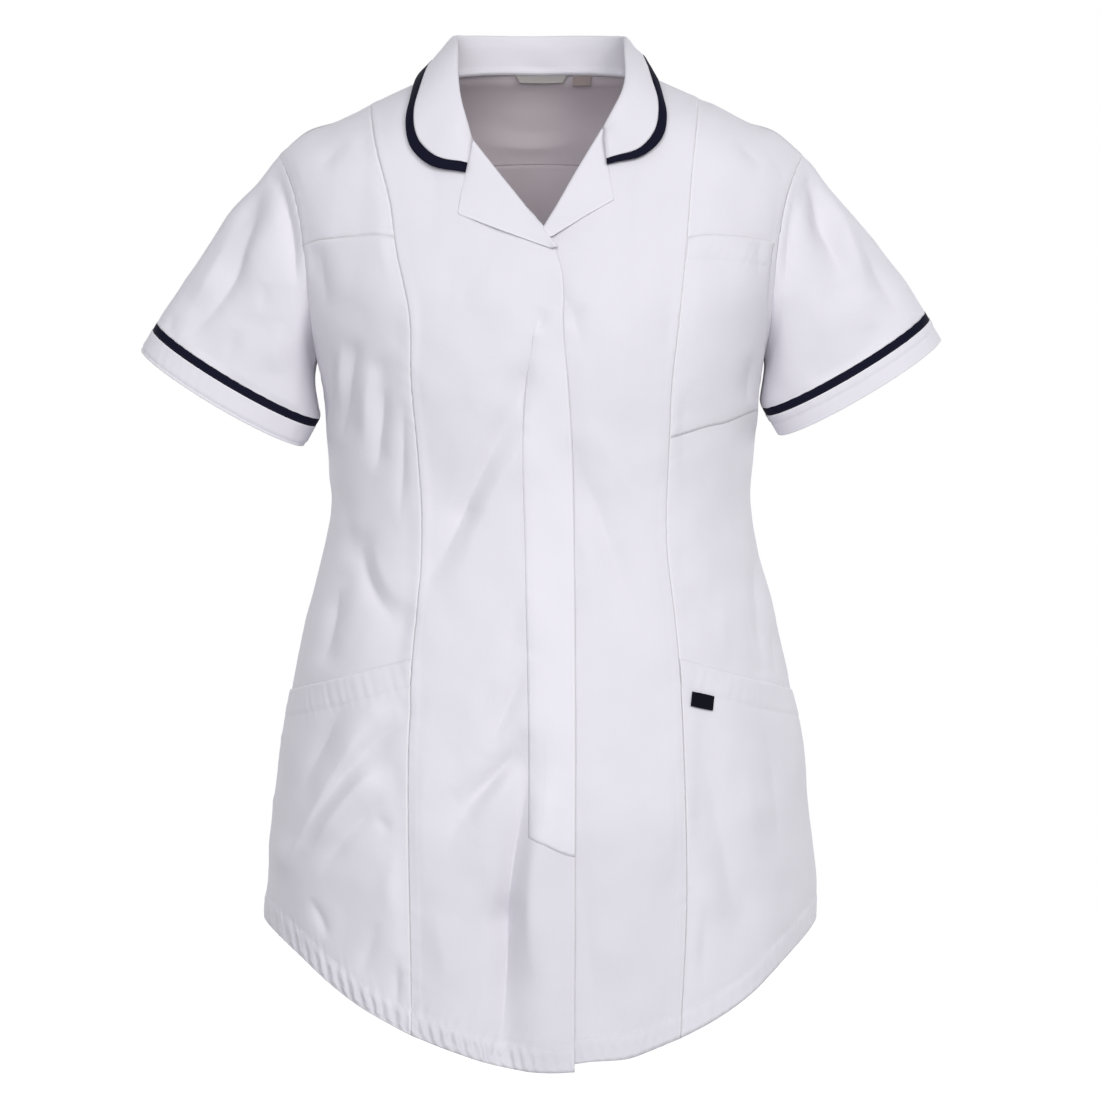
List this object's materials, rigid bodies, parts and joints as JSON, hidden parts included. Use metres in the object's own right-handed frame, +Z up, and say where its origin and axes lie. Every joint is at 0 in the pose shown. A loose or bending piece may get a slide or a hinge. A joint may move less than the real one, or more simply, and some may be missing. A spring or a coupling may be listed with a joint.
{
  "type": "maternity tunic",
  "caption": "Short-sleeved maternity tunic in white cloth with navy collar and cuff trim, a lapel V neck, a concealed front fastening and patch pockets, in its worn form.",
  "frame": {"origin": "midway between the shoulders, on the level of the middle of the shoulder seams", "axes": "+X to the wearer's left, -Y to the front, +Z up"},
  "size_m": [0.64, 0.2966, 0.8177],
  "materials": {
    "white cloth": "matt",
    "navy trim": "matt",
    "cream label": "soft sheen",
    "beige label": "soft sheen",
    "navy tab": "matt"
  },
  "bodies": {
    "root": {"back": "white cloth", "back_yoke": "white cloth", "chest_pocket": "white cloth", "collar": "white cloth", "collar_trim": "navy trim", "cuff_band_left": "white cloth", "cuff_band_right": "white cloth", "cuff_trim_left": "navy trim", "cuff_trim_right": "navy trim", "front_centre_left": "white cloth", "front_centre_right": "white cloth", "front_side_left": "white cloth", "front_side_right": "white cloth", "front_yoke_right": "white cloth", "hip_pocket_left": "white cloth", "hip_pocket_right": "white cloth", "lapel_left": "white cloth", "lapel_right": "white cloth", "neck_label": "cream label", "placket": "white cloth", "pocket_tab": "navy tab", "size_label": "beige label", "sleeve_left": "white cloth", "sleeve_right": "white cloth"}
  },
  "joints": []
}
